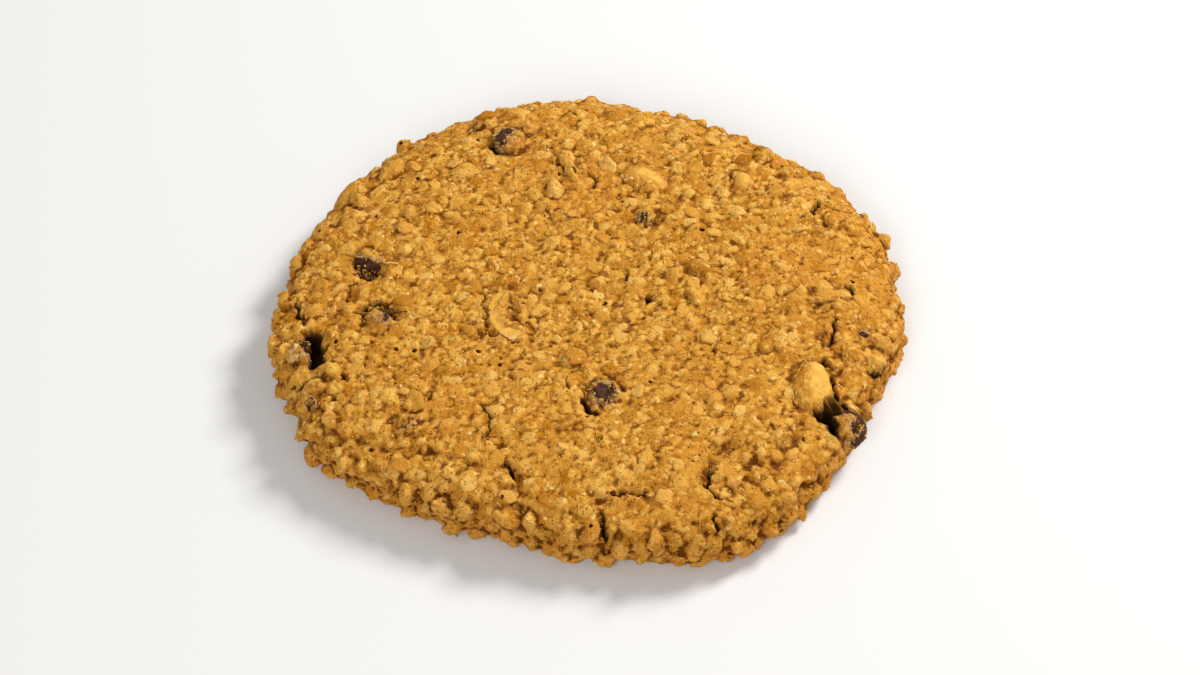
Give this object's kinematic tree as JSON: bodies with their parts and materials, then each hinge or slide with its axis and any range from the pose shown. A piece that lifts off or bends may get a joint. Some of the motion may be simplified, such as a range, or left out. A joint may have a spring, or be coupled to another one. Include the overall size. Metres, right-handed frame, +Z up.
{
  "type": "peanut butter cookie",
  "caption": "Large round oat and peanut butter cookie, thick with a rounded crumbly rim and a flat base, with chocolate chips and peanut halves baked in.",
  "frame": {"origin": "on the table under the middle of the cookie's outline box, at the level of its flat base", "axes": "+Z up out of the cookie's top, +X along its longest way across, +Y away from the side that faced the camera"},
  "size_m": [0.1465, 0.1379, 0.0172],
  "materials": {
    "dough": "dry baked oat dough, golden brown, rough and crumbly",
    "chocolate": "baked dark chocolate, dull with a slight sheen",
    "peanut": "roasted peanut, smooth and faintly waxy"
  },
  "bodies": {
    "root": {"cookie_dough": "dough", "chip_centre": "chocolate", "chip_back": "chocolate", "chip_left_upper": "chocolate", "chip_left_middle": "chocolate", "chip_left_lower": "chocolate", "chip_left_front": "chocolate", "chip_front": "chocolate", "chip_mid_back": "chocolate", "chip_rim_right": "chocolate", "chip_right_edge": "chocolate", "peanut_right": "peanut", "peanut_left": "peanut", "peanut_back": "peanut", "peanut_rim_left": "peanut", "peanut_piece": "peanut", "peanut_sliver": "peanut"}
  },
  "joints": []
}
